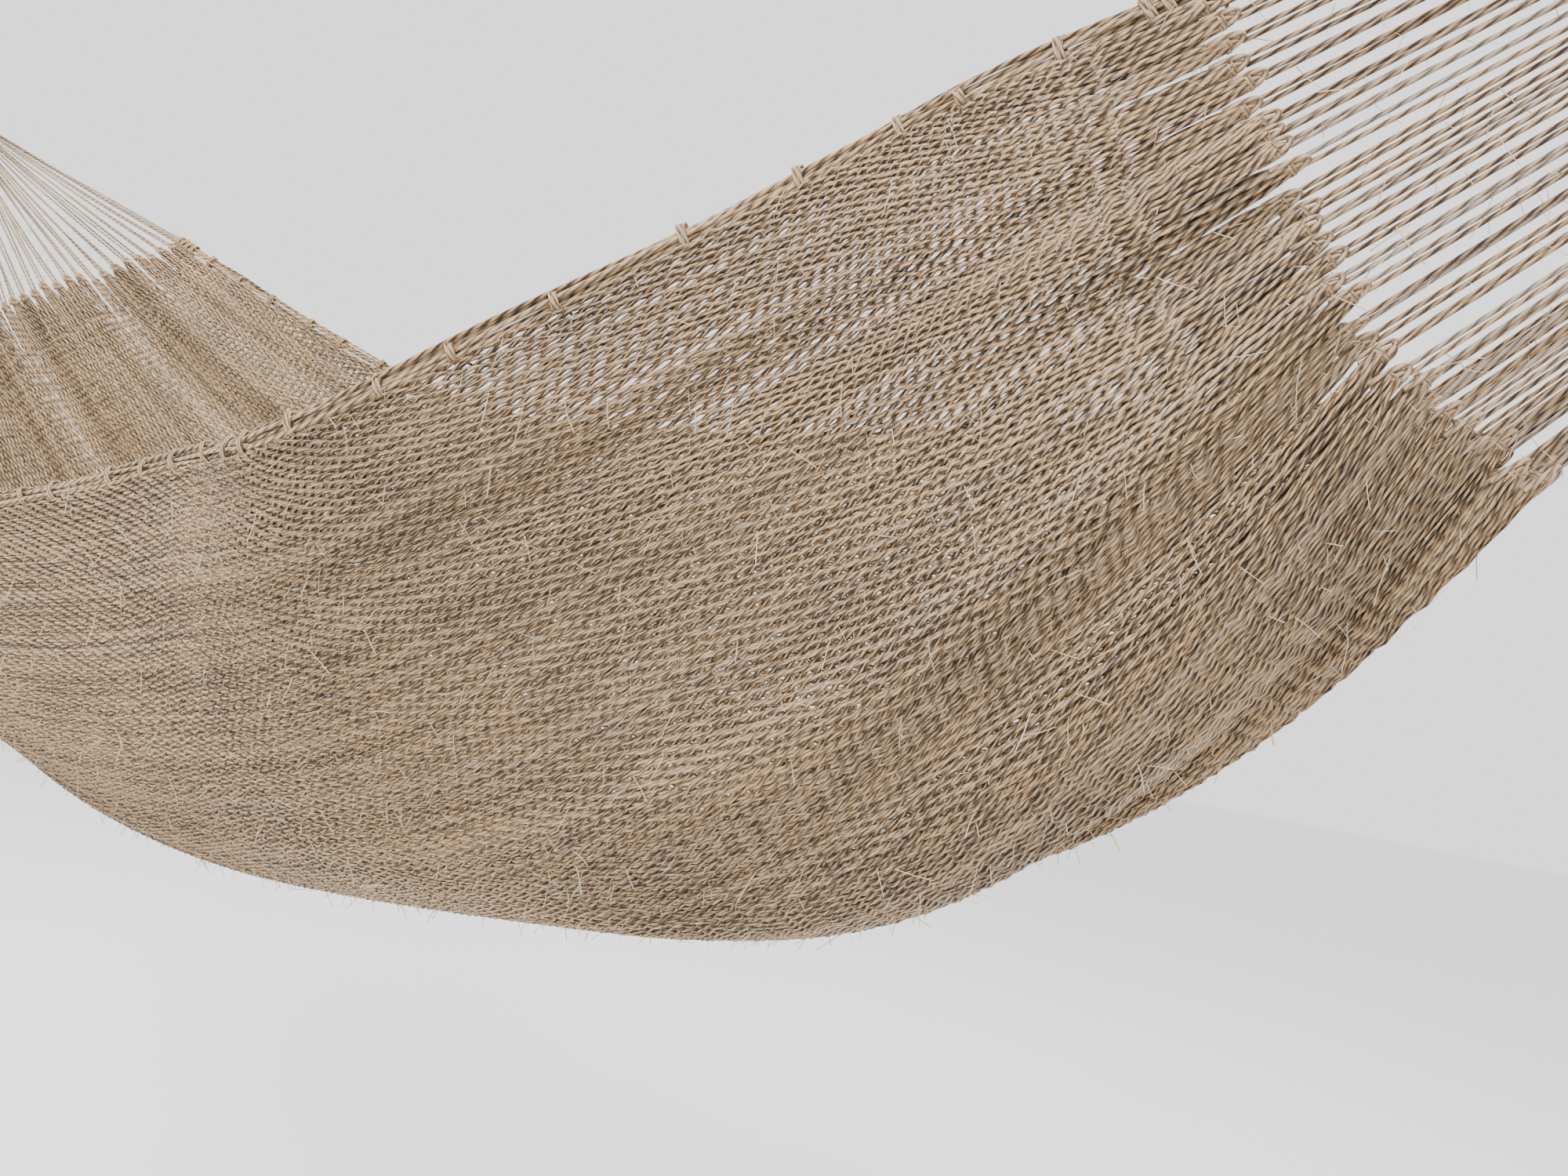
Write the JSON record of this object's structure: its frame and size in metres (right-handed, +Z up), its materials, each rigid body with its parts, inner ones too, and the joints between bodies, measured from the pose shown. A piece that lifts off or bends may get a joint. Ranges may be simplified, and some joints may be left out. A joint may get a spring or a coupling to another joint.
{
  "type": "rope hammock",
  "caption": "Hanging net hammock of twisted natural fibre cord, with bound edges, fanned arm cords and an eye at each end.",
  "frame": {"origin": "centre of the head eye's hole", "axes": "+X towards the foot eye, +Z up, -Y towards the front edge; the eyes' holes run along Y"},
  "size_m": [3.352, 0.5751, 1.1621],
  "materials": {
    "net_cord": "rough twisted natural fibre",
    "edge_cord": "rough twisted natural fibre",
    "arm_cord": "rough twisted natural fibre",
    "eye_cord": "tightly wound natural fibre"
  },
  "bodies": {
    "eyes": {"head_eye": "eye_cord", "head_neck_binding": "eye_cord", "foot_eye": "eye_cord", "foot_neck_binding": "eye_cord"},
    "sling": {"net": "net_cord", "front_edge_bundle": "edge_cord", "rear_edge_bundle": "edge_cord", "front_edge_hitches": "edge_cord", "rear_edge_hitches": "edge_cord", "head_end_loops": "net_cord", "foot_end_loops": "net_cord", "head_arm_gather": "arm_cord", "foot_arm_gather": "arm_cord", "head_arm_cords_1": "arm_cord", "head_arm_cords_2": "arm_cord", "head_arm_cords_3": "arm_cord", "head_arm_cords_4": "arm_cord", "head_arm_cords_5": "arm_cord", "head_arm_cords_6": "arm_cord", "head_arm_cords_7": "arm_cord", "head_arm_cords_8": "arm_cord", "head_arm_cords_9": "arm_cord", "foot_arm_cords_1": "arm_cord", "foot_arm_cords_2": "arm_cord", "foot_arm_cords_3": "arm_cord", "foot_arm_cords_4": "arm_cord", "foot_arm_cords_5": "arm_cord", "foot_arm_cords_6": "arm_cord", "foot_arm_cords_7": "arm_cord", "foot_arm_cords_8": "arm_cord", "foot_arm_cords_9": "arm_cord"}
  },
  "joints": [
    {"name": "swing", "type": "hinge", "parent": "eyes", "child": "sling", "pos_m": [1.632, 0, -0.06], "axis": [1, 0, 0], "range_deg": [-35, 35]}
  ]
}
